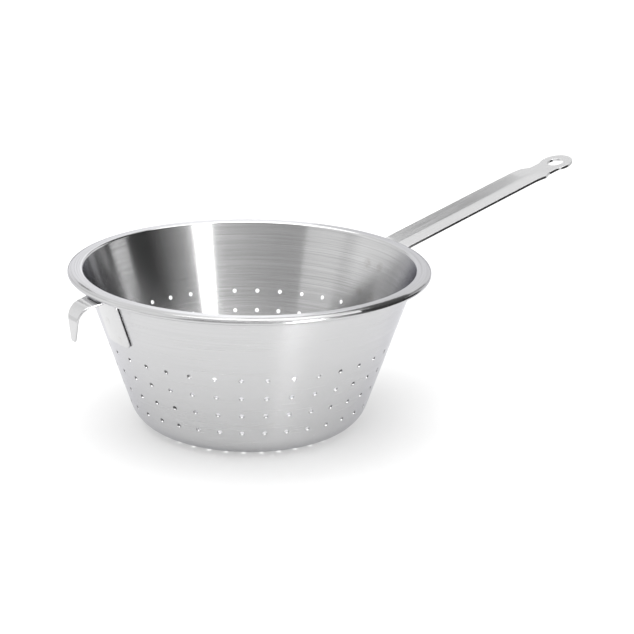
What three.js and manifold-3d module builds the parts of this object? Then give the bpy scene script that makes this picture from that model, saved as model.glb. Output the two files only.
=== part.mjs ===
// Long-handled colander: a perforated drawn bowl with a rolled rim, a gutter-shaped strip handle
// and a pot hook, each spot-welded to the wall under the rim.
// Millimetres, +Z up. The origin is the centre of the underside of the base; the handle runs along +X.
import * as THREE from 'three';
import { mergeGeometries, mergeVertices } from 'three/addons/utils/BufferGeometryUtils.js';
import Module from 'manifold-3d';

const wasm = await Module();
wasm.setup();

// Bowl
const RIM_RADIUS = 120;         // outside of the rolled rim
const RIM_WIDTH = 8.7;          // rim's outside to the line of the wall's outer face
const BOWL_HEIGHT = 108;        // table to the top of the rim
const BOWL_SHEET = 1;
const WALL_ANGLE = 18.5;        // lean of the wall from upright, degrees
const CORNER_RADIUS = 21;       // outside of the round between wall and base
const CROWN_RADIUS = 9;         // upper face of the rim where it rolls down to the bead
const CROWN_TURN = 27;          // how far it rolls down, degrees
const BEAD_DIAMETER = 3.4;      // the curled edge of the rim
const CURL_SWEEP = 270;         // how far the edge is curled, degrees
const LIP_RADIUS = 0.9;         // under face of the bend between wall and rim

// Perforation
const HOLE_DIAMETER = 3;
const PUNCH_LENGTH = 30;        // the punch tapers to a point in this length
const PUNCH_START = 1;          // its wide end above the inner face
const WALL_ROWS = 4;
const HOLES_IN_ROW = 36;
const TOP_ROW_DROP = 50.6;      // down the wall from the rim's height, along the slope
const ROW_PITCH = 14.1;         // along the slope
const ROW_TURN = 2.8;           // the first column, round from the handle, degrees
const BASE_RINGS = 6;
const RING_PITCH = 11.0;        // along the sheet, outward from the centre of the base
const RING_GAIN = 6;            // holes that each ring has more than the one inside it
const RING_TURN = 2.8;          // the first hole of a ring, round from the handle, degrees

// Handle
const HANDLE_SHEET = 2;
const HANDLE_WIDTH = 26.9;
const HANDLE_RISE = 15.5;       // slope of the arm, degrees
const HANDLE_LENGTH = 155.3;    // rim's outside to the centre of the eye, measured level
const HANDLE_BEND = 5;          // round of the upper face where the arm turns down the wall
const HANDLE_LEG = 35;          // down the wall from the corner of that bend
const GUTTER_DEPTH = 1.7;       // edges of the arm above its middle
const GUTTER_RUN = 18;          // length in which the leg's curve turns into the gutter
const GUTTER_FADE = 22;         // length in which the gutter turns flat
const GUTTER_END = 4;           // start of the neck to the end of the gutter
const LEG_CORNER = 6;           // round corners at the foot of the leg
const EYE_RADIUS = 12.4;
const EYE_HOLE = 12;
const NECK_WIDTH = 20;
const NECK_LENGTH = 16.5;       // start of the neck to the centre of the eye
const SHOULDER_LENGTH = 6;      // where the arm narrows to the neck
const EYE_SPREAD = 120;         // the neck meets the round eye this far from its tip, degrees

// Hook
const HOOK_SHEET = 1.5;
const HOOK_LEG_WIDTH = 26;
const HOOK_WIDTH = 20;          // the tongue where it leaves the leg
const HOOK_TIP = 4.5;           // the tongue at its tip
const HOOK_TAPER = 1.4;         // power of the tongue's curved sides
const HOOK_OVERHANG = 12.7;     // rim's outside to the outside of the hook
const HOOK_DROP = 30;           // rim's top to the tip
const HOOK_SLOPE = 12;          // fall of the stretch under the rim, degrees
const HOOK_BEND = 10.5;         // outside of the round over the pot's edge
const HOOK_ROOT_BEND = 4;       // upper face where the hook leaves the wall
const HOOK_LEG = 35.8;          // down the wall from the corner of that bend
const HOOK_CORNER = 3;          // round corners at the foot of the leg

// Joints
const SEAT_GAP = 0.3;           // strip to wall, and weld to the metal round it
const RIM_GAP = 0.9;            // strips below the rim's bead
const WELD_DIAMETER = 5;
const WELD_SINK = 0.2;          // electrode's mark below the face of the strip
const WELD_BITE = 0.5;          // weld into the wall
const HANDLE_WELD_SPREAD = 13.6;
const HANDLE_WELD_TOP = 8.3;    // upper pair below the corner of the bend, along the wall
const HANDLE_WELD_FOOT = 5.7;   // lower pair above the foot of the leg
const HOOK_WELD_SPREAD = 8;
const HOOK_WELD_TOP = 19;       // upper spot below the corner of the bend, along the wall
const HOOK_WELD_FOOT = 5;       // lower spot above the foot of the leg

// Fineness of the round forms
const LATHE_STEPS = HOLES_IN_ROW;
const CORNER_STEPS = 4;
const LIP_STEPS = 2;
const CROWN_STEPS = 2;
const CURL_STEPS = 6;
const BEND_STEPS = 4;
const HOLE_SIDES = 6;
const WELD_SIDES = 12;
const EYE_STEPS = 24;
const STRIP_COLUMNS = 6;
const ROUND_SHARES = [0, 0.12, 0.45, 1];   // stations of a strip's round corner, from its end
const MERGE_DISTANCE = 1e-4;

const lean = THREE.MathUtils.degToRad(WALL_ANGLE);
const crownTurn = THREE.MathUtils.degToRad(CROWN_TURN);
const rise = THREE.MathUtils.degToRad(HANDLE_RISE);
const fall = THREE.MathUtils.degToRad(HOOK_SLOPE);
const wallUp = new THREE.Vector2(Math.sin(lean), Math.cos(lean));
const wallOut = new THREE.Vector2(Math.cos(lean), -Math.sin(lean));

// The wall's outer face runs through this point, at the height of the rim.
const wallTop = new THREE.Vector2(RIM_RADIUS - RIM_WIDTH, BOWL_HEIGHT);
const beadRadius = BEAD_DIAMETER / 2;
const crownReach = new THREE.Vector2(Math.sin(crownTurn), Math.cos(crownTurn))
  .multiplyScalar(CROWN_RADIUS - beadRadius);
const crownCentre = new THREE.Vector2(RIM_RADIUS - beadRadius - crownReach.x, BOWL_HEIGHT - CROWN_RADIUS);
const beadCentre = crownCentre.clone().add(crownReach);
const cornerCentre = new THREE.Vector2(
  wallTop.x + (CORNER_RADIUS - BOWL_HEIGHT) * Math.tan(lean) - CORNER_RADIUS / Math.cos(lean),
  CORNER_RADIUS,
);
const cornerSweep = Math.PI / 2 - lean;

// Radius of the wall's outer face at a height.
function wallRadius(z) {
  return wallTop.x + (z - BOWL_HEIGHT) * Math.tan(lean);
}

// Solids from closed meshes and back.
function solid(geometry) {
  const bare = geometry.clone();
  bare.deleteAttribute('normal');
  bare.deleteAttribute('uv');
  const merged = mergeVertices(bare, MERGE_DISTANCE);
  const corners = merged.index.array;
  const kept = [];
  for (let i = 0; i < corners.length; i += 3) {
    const [a, b, c] = [corners[i], corners[i + 1], corners[i + 2]];
    if (a !== b && b !== c && c !== a) kept.push(a, b, c);
  }
  return new wasm.Manifold(new wasm.Mesh({
    numProp: 3,
    vertProperties: new Float32Array(merged.attributes.position.array),
    triVerts: new Uint32Array(kept),
  }));
}

function toGeometry(body) {
  const mesh = body.getMesh();
  const geometry = new THREE.BufferGeometry();
  geometry.setAttribute('position', new THREE.BufferAttribute(new Float32Array(mesh.vertProperties), 3));
  geometry.setIndex(new THREE.BufferAttribute(new Uint32Array(mesh.triVerts), 1));
  geometry.computeVertexNormals();
  return geometry;
}

// The turn from +Y, the axis of cylinders and cones, to a direction.
function turnTo(direction) {
  return new THREE.Quaternion().setFromUnitVectors(new THREE.Vector3(0, 1, 0), direction);
}

// A round bar from one point to another.
function bar(from, to, radius, sides) {
  const along = new THREE.Vector3().subVectors(to, from);
  const geometry = new THREE.CylinderGeometry(radius, radius, along.length(), sides);
  geometry.applyQuaternion(turnTo(along.clone().normalize()));
  geometry.translate(...from.clone().lerp(to, 0.5).toArray());
  return geometry;
}

// Points of an arc round a centre, both ends included.
function arcPoints(centre, radius, start, end, steps) {
  const points = [];
  for (let i = 0; i <= steps; i += 1) {
    const angle = start + (end - start) * i / steps;
    points.push(new THREE.Vector2(centre.x + radius * Math.cos(angle), centre.y + radius * Math.sin(angle)));
  }
  return points;
}

// Bowl: one sheet turned from the base, round the corner, up the wall, over the rim and into the curl.
function bowlProfile() {
  const innerFace = wallTop.clone().addScaledVector(wallOut, -BOWL_SHEET);
  const innerTopRadius = innerFace.x + (BOWL_HEIGHT - innerFace.y) * Math.tan(lean);
  const lip = LIP_RADIUS + BOWL_SHEET;
  const lipReach = lip * Math.tan((Math.PI / 2 - lean) / 2);
  const lipCentre = new THREE.Vector2(innerTopRadius + lipReach, BOWL_HEIGHT - lip);
  const lipStart = Math.PI / 2;
  const lipEnd = Math.PI - lean;
  const crownEnd = Math.PI / 2 - crownTurn;
  const curlEnd = Math.PI / 2 - THREE.MathUtils.degToRad(CURL_SWEEP);
  const outerArc = arcPoints(cornerCentre, CORNER_RADIUS, -Math.PI / 2, -lean, CORNER_STEPS);
  const innerArc = arcPoints(cornerCentre, CORNER_RADIUS - BOWL_SHEET, -lean, -Math.PI / 2, CORNER_STEPS);

  // The perforated band ends half a row above the top row, on both faces.
  const bandOuter = wallTop.clone().addScaledVector(wallUp, ROW_PITCH / 2 - TOP_ROW_DROP);
  const bandInner = bandOuter.clone().addScaledVector(wallOut, -BOWL_SHEET);
  return [
    new THREE.Vector2(0, 0),
    ...outerArc,
    bandOuter,
    ...arcPoints(lipCentre, LIP_RADIUS, lipEnd, lipStart, LIP_STEPS),
    ...arcPoints(crownCentre, CROWN_RADIUS - BOWL_SHEET, Math.PI / 2, crownEnd, CROWN_STEPS),
    ...arcPoints(beadCentre, beadRadius - BOWL_SHEET, crownEnd, curlEnd, CURL_STEPS).slice(1),
    ...arcPoints(beadCentre, beadRadius, curlEnd, crownEnd, CURL_STEPS),
    ...arcPoints(crownCentre, CROWN_RADIUS, crownEnd, Math.PI / 2, CROWN_STEPS).slice(1),
    ...arcPoints(lipCentre, lip, lipStart, lipEnd, LIP_STEPS),
    bandInner,
    ...innerArc,
    new THREE.Vector2(0, BOWL_SHEET),
  ];
}

// A place on the outer face, given along the sheet from the centre of the base, with its outward normal.
function onSheet(distance) {
  const arcLength = cornerSweep * CORNER_RADIUS;
  if (distance <= cornerCentre.x) {
    return { point: new THREE.Vector2(distance, 0), normal: new THREE.Vector2(0, -1) };
  }
  if (distance <= cornerCentre.x + arcLength) {
    const angle = (distance - cornerCentre.x) / CORNER_RADIUS - Math.PI / 2;
    const normal = new THREE.Vector2(Math.cos(angle), Math.sin(angle));
    return { point: cornerCentre.clone().addScaledVector(normal, CORNER_RADIUS), normal };
  }
  const wallStart = cornerCentre.clone().addScaledVector(wallOut, CORNER_RADIUS);
  const upWall = distance - cornerCentre.x - arcLength;
  return { point: wallStart.addScaledVector(wallUp, upWall), normal: wallOut.clone() };
}

// A punched hole narrows a little toward the outer face, where the punch breaks through.
function punch(inside, outward) {
  const middle = PUNCH_START + BOWL_SHEET / 2;
  const base = HOLE_DIAMETER / 2 * PUNCH_LENGTH / (PUNCH_LENGTH - middle);
  const geometry = new THREE.ConeGeometry(base, PUNCH_LENGTH, HOLE_SIDES);
  geometry.translate(0, PUNCH_LENGTH / 2, 0);
  geometry.applyQuaternion(turnTo(outward));
  return geometry.translate(...inside.toArray());
}

function holeRing(distance, count, turn) {
  const { point, normal } = onSheet(distance);
  const inside = point.clone().addScaledVector(normal, -BOWL_SHEET - PUNCH_START);
  const cutter = punch(new THREE.Vector3(inside.x, 0, inside.y), new THREE.Vector3(normal.x, 0, normal.y));
  const ring = [];
  for (let i = 0; i < count; i += 1) {
    ring.push(cutter.clone().rotateZ(THREE.MathUtils.degToRad(turn + 360 * i / count)));
  }
  return ring;
}

function perforation() {
  const arcLength = cornerSweep * CORNER_RADIUS;
  const wallStart = cornerCentre.clone().addScaledVector(wallOut, CORNER_RADIUS);
  const rimDistance = cornerCentre.x + arcLength + wallStart.distanceTo(wallTop);
  const cutters = [];
  for (let row = 0; row < WALL_ROWS; row += 1) {
    cutters.push(...holeRing(rimDistance - TOP_ROW_DROP - row * ROW_PITCH, HOLES_IN_ROW, ROW_TURN));
  }
  for (let ring = 1; ring <= BASE_RINGS; ring += 1) {
    cutters.push(...holeRing(ring * RING_PITCH, ring * RING_GAIN, RING_TURN));
  }
  return solid(mergeGeometries(cutters));
}

function bowlBlank() {
  const halfStep = 180 / LATHE_STEPS;
  const start = THREE.MathUtils.degToRad(ROW_TURN + 90 - halfStep);
  const lathe = new THREE.LatheGeometry(bowlProfile(), LATHE_STEPS, start, 2 * Math.PI);
  return solid(lathe.rotateX(Math.PI / 2));
}

// Strips: a path in the XZ plane for the face that lies on the wall and turns up on the arm.
function meeting(p, along, q, other) {
  const gap = new THREE.Vector2().subVectors(q, p);
  return p.clone().addScaledVector(along, gap.cross(other) / along.cross(other));
}

// The corner between two straight stretches, rounded to a radius on its outer side, turning right.
function bend(corner, into, out, radius) {
  const turn = Math.acos(into.dot(out));
  const reach = radius * Math.tan(turn / 2);
  const first = corner.clone().addScaledVector(into, -reach);
  const left = new THREE.Vector2(-into.y, into.x);
  const centre = first.clone().addScaledVector(left, -radius);
  const start = Math.atan2(left.y, left.x);
  return arcPoints(centre, radius, start, start - turn, BEND_STEPS);
}

// Half the width at a distance from a foot with round corners.
function footHalf(half, corner, distance) {
  const short = Math.max(0, corner - distance);
  return half - corner + Math.sqrt(corner * corner - short * short);
}

// Each station has a point of the path, half a width and a curve across.
// At v from the middle the face lies curve * v * v / 2 above the path.
function strip(stations, thickness) {
  const count = stations.length;
  const upper = [];
  const lower = [];
  stations.forEach((station, i) => {
    const before = stations[Math.max(0, i - 1)].point;
    const after = stations[Math.min(count - 1, i + 1)].point;
    const heading = new THREE.Vector2().subVectors(after, before).normalize();
    const normal = station.normal ?? new THREE.Vector2(-heading.y, heading.x);
    for (let j = 0; j <= STRIP_COLUMNS; j += 1) {
      const v = station.half * (2 * j / STRIP_COLUMNS - 1);
      const face = station.point.clone().addScaledVector(normal, station.curve * v * v / 2);
      const back = face.clone().addScaledVector(normal, -thickness);
      upper.push(face.x, v, face.y);
      lower.push(back.x, v, back.y);
    }
  });
  const columns = STRIP_COLUMNS + 1;
  const base = count * columns;
  const at = (i, j) => i * columns + j;
  const faces = [];
  const quad = (a, b, c, d) => faces.push(a, b, c, a, c, d);
  for (let i = 0; i + 1 < count; i += 1) {
    for (let j = 0; j < STRIP_COLUMNS; j += 1) {
      quad(at(i, j), at(i + 1, j), at(i + 1, j + 1), at(i, j + 1));
      quad(base + at(i, j), base + at(i, j + 1), base + at(i + 1, j + 1), base + at(i + 1, j));
    }
    quad(at(i, 0), base + at(i, 0), base + at(i + 1, 0), at(i + 1, 0));
    const j = STRIP_COLUMNS;
    quad(at(i, j), at(i + 1, j), base + at(i + 1, j), base + at(i, j));
  }
  const last = count - 1;
  for (let j = 0; j < STRIP_COLUMNS; j += 1) {
    quad(at(0, j), at(0, j + 1), base + at(0, j + 1), base + at(0, j));
    quad(at(last, j), base + at(last, j), base + at(last, j + 1), at(last, j + 1));
  }
  const geometry = new THREE.BufferGeometry();
  geometry.setAttribute('position', new THREE.Float32BufferAttribute([...upper, ...lower], 3));
  geometry.setIndex(faces);
  return solid(geometry);
}

// Where the leg of a strip lies: the wall's outer face, moved out by the seat gap.
const legLine = wallTop.clone().addScaledVector(wallOut, SEAT_GAP);

function wallCurve(point) {
  return Math.cos(lean) / wallRadius(point.y);
}

function legStations(corner, length, width, round) {
  const foot = corner.clone().addScaledVector(wallUp, -length);
  return ROUND_SHARES.map((share) => {
    const point = foot.clone().addScaledVector(wallUp, share * round);
    const half = footHalf(width / 2, round, share * round);
    return { point, half, curve: wallCurve(point), normal: wallOut.clone().negate() };
  });
}

// Handle: its arm passes under the bead, and the corner is where the arm's line meets the wall.
const armAlong = new THREE.Vector2(Math.cos(rise), Math.sin(rise));
const armUp = new THREE.Vector2(-Math.sin(rise), Math.cos(rise));
const bowlBead = new THREE.Vector2(beadCentre.x, beadCentre.y - beadRadius);
const armLine = bowlBead.clone().setY(bowlBead.y - RIM_GAP - GUTTER_DEPTH);
const handleCorner = meeting(legLine, wallUp, armLine, armAlong);

function handleStrip() {
  const armRun = RIM_RADIUS + HANDLE_LENGTH - armLine.x;
  const eye = armLine.clone().addScaledVector(armAlong, armRun / armAlong.x);
  const half = HANDLE_WIDTH / 2;
  const gutter = 2 * GUTTER_DEPTH / (half * half);
  const legCurve = wallCurve(handleCorner);
  const turned = bend(handleCorner, wallUp, armAlong, HANDLE_BEND);
  const armStart = turned[turned.length - 1];
  const alongArm = (distance) => armStart.clone().addScaledVector(armAlong, distance);
  const eyeDistance = armStart.distanceTo(eye);
  const neckStart = eyeDistance - NECK_LENGTH;
  const gutterEnd = neckStart + GUTTER_END;
  const bent = turned.map((point, i) => {
    const share = i / BEND_STEPS;
    const angle = lean + share * (Math.PI / 2 - lean - rise);
    const normal = new THREE.Vector2(-Math.cos(angle), Math.sin(angle));
    return { point, half, curve: legCurve, normal };
  });
  const arm = [
    { point: alongArm(GUTTER_RUN / 2), half, curve: (gutter + legCurve) / 2, normal: armUp },
    { point: alongArm(GUTTER_RUN), half, curve: gutter, normal: armUp },
    { point: alongArm(gutterEnd - GUTTER_FADE), half, curve: gutter, normal: armUp },
    { point: alongArm(gutterEnd - GUTTER_FADE / 2), half, curve: gutter / 2, normal: armUp },
    { point: alongArm(gutterEnd), half, curve: 0, normal: armUp },
    { point: alongArm(eyeDistance + 2 * EYE_RADIUS), half, curve: 0, normal: armUp },
  ];
  const leg = legStations(handleCorner, HANDLE_LEG, HANDLE_WIDTH, LEG_CORNER);
  const whole = strip([...leg, ...bent, ...arm], HANDLE_SHEET);

  // The plan of the arm, seen square to its face: shoulders, neck and the round eye.
  const wide = half + HANDLE_SHEET;
  const neck = NECK_WIDTH / 2;
  const spread = THREE.MathUtils.degToRad(EYE_SPREAD);
  const joinX = eyeDistance + EYE_RADIUS * Math.cos(spread);
  const joinY = EYE_RADIUS * Math.sin(spread);
  const bendX = joinX - (joinY - neck) * Math.tan(Math.PI - spread);
  const shoulderRun = SHOULDER_LENGTH * (wide - neck) / (half - neck);
  const rootEnd = -2 * HANDLE_LEG;
  const plan = new THREE.Shape();
  plan.moveTo(rootEnd, -wide);
  plan.lineTo(neckStart - shoulderRun, -wide);
  plan.lineTo(neckStart, -neck);
  plan.lineTo(2 * bendX - joinX, -neck);
  plan.quadraticCurveTo(bendX, -neck, joinX, -joinY);
  plan.absarc(eyeDistance, 0, EYE_RADIUS, -spread, spread, false);
  plan.quadraticCurveTo(bendX, neck, 2 * bendX - joinX, neck);
  plan.lineTo(neckStart, neck);
  plan.lineTo(neckStart - shoulderRun, wide);
  plan.lineTo(rootEnd, wide);
  plan.closePath();
  const cutDepth = 2 * (HANDLE_LEG + HANDLE_BEND);
  const block = new THREE.ExtrudeGeometry(plan, {
    depth: 2 * cutDepth,
    bevelEnabled: false,
    curveSegments: EYE_STEPS / 2,
  });
  block.translate(0, 0, -cutDepth);
  const frame = new THREE.Matrix4().makeBasis(
    new THREE.Vector3(armAlong.x, 0, armAlong.y),
    new THREE.Vector3(0, 1, 0),
    new THREE.Vector3(armUp.x, 0, armUp.y),
  );
  frame.setPosition(armStart.x, 0, armStart.y);
  block.applyMatrix4(frame);

  const through = new THREE.Vector3(armUp.x, 0, armUp.y).multiplyScalar(2 * HANDLE_SHEET);
  const eyeAt = new THREE.Vector3(eye.x, 0, eye.y);
  const hole = bar(eyeAt.clone().sub(through), eyeAt.clone().add(through), EYE_HOLE / 2, EYE_STEPS);
  return whole.intersect(solid(block)).subtract(solid(hole));
}

// Hook, built along +X and turned to the far side of the bowl afterwards.
const tongueOut = new THREE.Vector2(Math.cos(fall), -Math.sin(fall));
const tongueLine = bowlBead.clone().setY(bowlBead.y - RIM_GAP);
const hookCorner = meeting(legLine, wallUp, tongueLine, tongueOut);

function hookStrip() {
  const down = new THREE.Vector2(0, -1);
  const straightEnd = new THREE.Vector2(RIM_RADIUS + HOOK_OVERHANG, BOWL_HEIGHT - HOOK_DROP);
  const outerCorner = meeting(tongueLine, tongueOut, straightEnd, down);
  const root = bend(hookCorner, wallUp, tongueOut, HOOK_ROOT_BEND);
  const over = bend(outerCorner, tongueOut, down, HOOK_BEND);
  const dropStart = over[over.length - 1];
  const tip = HOOK_TIP / 2;
  const tipRound = tip / 2;
  const straight = dropStart.distanceTo(straightEnd);
  const drops = [straight / 2, ...ROUND_SHARES.map((share) => straight - share * tipRound).reverse()];
  const tongue = [...over, ...drops.map((drop) => dropStart.clone().addScaledVector(down, drop))];

  const travelled = [0];
  const line = [root[root.length - 1], ...tongue];
  for (let i = 1; i < line.length; i += 1) {
    travelled.push(travelled[i - 1] + line[i].distanceTo(line[i - 1]));
  }
  const length = travelled[travelled.length - 1];
  const half = HOOK_WIDTH / 2;
  const taper = (distance) => tip + (half - tip) * (1 - (distance / length) ** HOOK_TAPER);
  const rounding = (distance) => footHalf(0, tipRound, length - distance);

  // The leg is wider than the tongue, with a round shoulder on each side below the root's bend.
  const shoulder = HOOK_LEG_WIDTH / 2 - half;
  const leg = legStations(hookCorner, HOOK_LEG, HOOK_LEG_WIDTH, HOOK_CORNER);
  const shoulders = ROUND_SHARES.map((share) => {
    const point = root[0].clone().addScaledVector(wallUp, -share * shoulder);
    const wide = footHalf(HOOK_LEG_WIDTH / 2, shoulder, share * shoulder);
    return { point, half: wide, curve: wallCurve(point), normal: wallOut.clone().negate() };
  }).reverse();
  const rooted = root.slice(1).map((point, i) => ({
    point,
    half,
    curve: wallCurve(hookCorner) * (1 - (i + 1) / BEND_STEPS),
  }));
  const free = tongue.map((point, i) => ({
    point,
    half: taper(travelled[i + 1]) + rounding(travelled[i + 1]),
    curve: 0,
  }));
  return strip([...leg, ...shoulders, ...rooted, ...free], HOOK_SHEET);
}

// A spot weld through a strip into the wall, with the pocket that clears it.
function weldAt(side, z, sheet) {
  const radius = wallRadius(z);
  const angle = Math.asin(side / radius);
  const seat = new THREE.Vector3(radius * Math.cos(angle), side, z);
  const outward = new THREE.Vector3(wallOut.x * Math.cos(angle), wallOut.x * Math.sin(angle), wallOut.y);
  const along = (distance) => seat.clone().addScaledVector(outward, distance);
  const face = SEAT_GAP + sheet;
  return {
    nugget: bar(along(-WELD_BITE), along(face - WELD_SINK), WELD_DIAMETER / 2, WELD_SIDES),
    pocket: bar(along(-WELD_BITE - SEAT_GAP), along(face + sheet), WELD_DIAMETER / 2 + SEAT_GAP, WELD_SIDES),
  };
}

// The heights of two welds on a leg, given along the wall from the corner above and the foot below.
function weldHeights(corner, leg, top, foot) {
  return [corner.y - top * wallUp.y, corner.y - (leg - foot) * wallUp.y];
}

const handleHeights = weldHeights(handleCorner, HANDLE_LEG, HANDLE_WELD_TOP, HANDLE_WELD_FOOT);
const handleWelds = handleHeights.flatMap((z) => [
  weldAt(-HANDLE_WELD_SPREAD / 2, z, HANDLE_SHEET),
  weldAt(HANDLE_WELD_SPREAD / 2, z, HANDLE_SHEET),
]);
const hookHeights = weldHeights(hookCorner, HOOK_LEG, HOOK_WELD_TOP, HOOK_WELD_FOOT);
const hookWelds = hookHeights.map((z, i) => weldAt((i - 0.5) * HOOK_WELD_SPREAD, z, HOOK_SHEET));
const handlePockets = solid(mergeGeometries(handleWelds.map((weld) => weld.pocket)));
const hookPockets = solid(mergeGeometries(hookWelds.map((weld) => weld.pocket)));
const farPockets = solid(mergeGeometries(hookWelds.map((weld) => weld.pocket.clone().rotateZ(Math.PI))));

const bowl = bowlBlank().subtract(perforation()).subtract(handlePockets).subtract(farPockets);
const handle = handleStrip().subtract(handlePockets);
const hook = hookStrip().subtract(hookPockets);

// Assembly
function part(name, geometry, color, roughness) {
  const mesh = new THREE.Mesh(geometry, new THREE.MeshStandardMaterial({ color, roughness, metalness: 1 }));
  mesh.name = name;
  return mesh;
}

const colander = new THREE.Group();
colander.add(part('bowl', toGeometry(bowl), 0xc8c9ca, 0.3));

const handleSide = new THREE.Group();
handleSide.add(part('handle', toGeometry(handle), 0xcfd0d1, 0.26));
handleWelds.forEach((weld, i) => handleSide.add(part(`handle_weld_${i + 1}`, weld.nugget, 0xa9a8a6, 0.4)));
colander.add(handleSide);

const hookSide = new THREE.Group();
hookSide.rotation.z = Math.PI;
hookSide.add(part('hook', toGeometry(hook), 0xd2d3d4, 0.24));
hookWelds.forEach((weld, i) => hookSide.add(part(`hook_weld_${i + 1}`, weld.nugget, 0xa9a8a6, 0.4)));
colander.add(hookSide);

export default colander;
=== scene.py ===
# Long-handled colander in stainless steel: a drawn and perforated bowl, a gutter-shaped strip handle
# and a pot hook, both spot-welded to the wall under the rolled rim.
# Metres, in the frame of the solids: the base stands on z = 0, the handle runs along +X.
from math import acos, asin, atan2, ceil, cos, hypot, pi, radians, sin, tan

import bmesh
import bpy
from mathutils import Matrix, Vector


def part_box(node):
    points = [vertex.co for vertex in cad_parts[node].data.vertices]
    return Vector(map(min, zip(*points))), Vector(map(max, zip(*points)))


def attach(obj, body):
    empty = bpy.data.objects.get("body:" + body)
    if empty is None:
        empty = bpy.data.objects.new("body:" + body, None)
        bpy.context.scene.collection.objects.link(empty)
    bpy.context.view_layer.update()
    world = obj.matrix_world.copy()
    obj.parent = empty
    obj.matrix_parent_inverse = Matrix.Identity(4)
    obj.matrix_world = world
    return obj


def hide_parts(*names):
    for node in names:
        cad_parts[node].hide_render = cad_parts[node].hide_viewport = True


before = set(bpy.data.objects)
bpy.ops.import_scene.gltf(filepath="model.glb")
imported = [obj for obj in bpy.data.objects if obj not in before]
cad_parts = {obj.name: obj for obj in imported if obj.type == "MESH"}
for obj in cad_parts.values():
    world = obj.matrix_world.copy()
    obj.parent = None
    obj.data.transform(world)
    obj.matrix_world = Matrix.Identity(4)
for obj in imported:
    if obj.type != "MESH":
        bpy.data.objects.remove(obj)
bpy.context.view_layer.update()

# Bowl: one stainless sheet, deep drawn, with a crowned rim that is rolled down into a small bead.
# Four rows of holes are punched through the wall and six rings through the base and its corner,
# and the bowl is then brushed round and round on a lathe, inside and out.
RIM_RADIUS = 0.120
RIM_WIDTH = 0.0087
BOWL_SHEET = 0.001
WALL_LEAN = radians(18.5)
CORNER_RADIUS = 0.021
CROWN_RADIUS = 0.009
CROWN_TURN = radians(27)
BEAD_RADIUS = 0.0017
CURL_SWEEP = radians(270)
LIP_RADIUS = 0.0009
HOLE_RADIUS = 0.0015
HOLE_EDGE = 0.00015
HOLE_POINTS = 16
WALL_ROWS = 4
HOLES_IN_ROW = 36
TOP_ROW_DROP = 0.0506
ROW_PITCH = 0.0141
ROW_TURN = radians(2.8)
BASE_RINGS = 6
RING_PITCH = 0.011
RING_GAIN = 6
RING_TURN = radians(2.8)
BAND_HALF = 0.003                  # half the width of the band of sheet that holds a row of holes
WALL_ARCS = 10                     # sides of the bowl for each hole of a wall row
BASE_ARCS = 6                      # and for each hole of a base ring
HOLE_ARCS = 4                      # sides that the cell of a hole takes up
FOOT_STEPS = 4
CORNER_STEPS = 6
WALL_STEPS = 4
LIP_STEPS = 6
BRIM_STEPS = 3
CROWN_STEPS = 6
CURL_STEPS = 24
STEEL_GREY = (0.61, 0.61, 0.615, 1)
MARK_GREY = (0.46, 0.46, 0.46, 1)  # in the lines of the brushing
EDGE_GREY = (0.84, 0.84, 0.87, 1)  # where the steel is seen along its face
COARSE_LINE = 0.0008
COARSE_TURNS = 0.8
FINE_LINE = 0.00035
FINE_TURNS = 2
LINE_RANGE = (0.35, 0.65)          # from clear steel to a line, in the noise that draws them
BRUSH_ROUGHNESS = (0.15, 0.22)
OUTSIDE_RANGE = (0.6, 0.9)         # how far a face looks outward, from inside to outside
OUTSIDE_LINES = 0.2                # share of the lines' grey that is left outside
OUTER_DULL = 0.06                  # what the outside gains in roughness
RIM_SHINE = 0.04                   # and what the rim loses
LINE_RELIEF = 0.2
BRUSH_DEPTH = 0.00002
BRUSH_SPREAD = 0.84                # how much wider the gloss spreads across the lines
BRUSH_TURN = 0.25
FOOD_TILT = radians(2)             # lean of the wall's normals on the food side, for its reflections

bowl_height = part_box("bowl")[1][2]
wall_up = Vector((sin(WALL_LEAN), cos(WALL_LEAN)))
wall_in = Vector((-cos(WALL_LEAN), sin(WALL_LEAN)))
wall_top = Vector((RIM_RADIUS - RIM_WIDTH, bowl_height))
corner_centre = Vector((
    wall_top.x + (CORNER_RADIUS - bowl_height) * tan(WALL_LEAN) - CORNER_RADIUS / cos(WALL_LEAN),
    CORNER_RADIUS,
))
wall_start = corner_centre - CORNER_RADIUS * wall_in
crown_reach = CROWN_RADIUS - BEAD_RADIUS
crown_centre = Vector((
    RIM_RADIUS - BEAD_RADIUS - crown_reach * sin(CROWN_TURN),
    bowl_height - CROWN_RADIUS,
))
bead_centre = crown_centre + crown_reach * Vector((sin(CROWN_TURN), cos(CROWN_TURN)))
food_face = wall_top + BOWL_SHEET * wall_in
lip_over = LIP_RADIUS + BOWL_SHEET
quarter_less_lean = pi / 2 - WALL_LEAN
lip_centre = Vector((
    food_face.x + (bowl_height - food_face.y) * tan(WALL_LEAN) + lip_over * tan(quarter_less_lean / 2),
    bowl_height - lip_over,
))


# A stretch of a section gives a point and the direction that its face looks, at a distance along it.
def straight(start, along, facing):
    return lambda travelled: (start + travelled * along, facing)


def arc(centre, radius, start, turn, side):
    def place(travelled):
        angle = start + turn * travelled / radius
        outward = Vector((cos(angle), sin(angle)))
        return centre + radius * outward, side * outward
    return place


def along_stretches(stretches, distance):
    for length, place in stretches[:-1]:
        if distance <= length:
            return place(distance)
        distance -= length
    return stretches[-1][1](distance)


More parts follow.
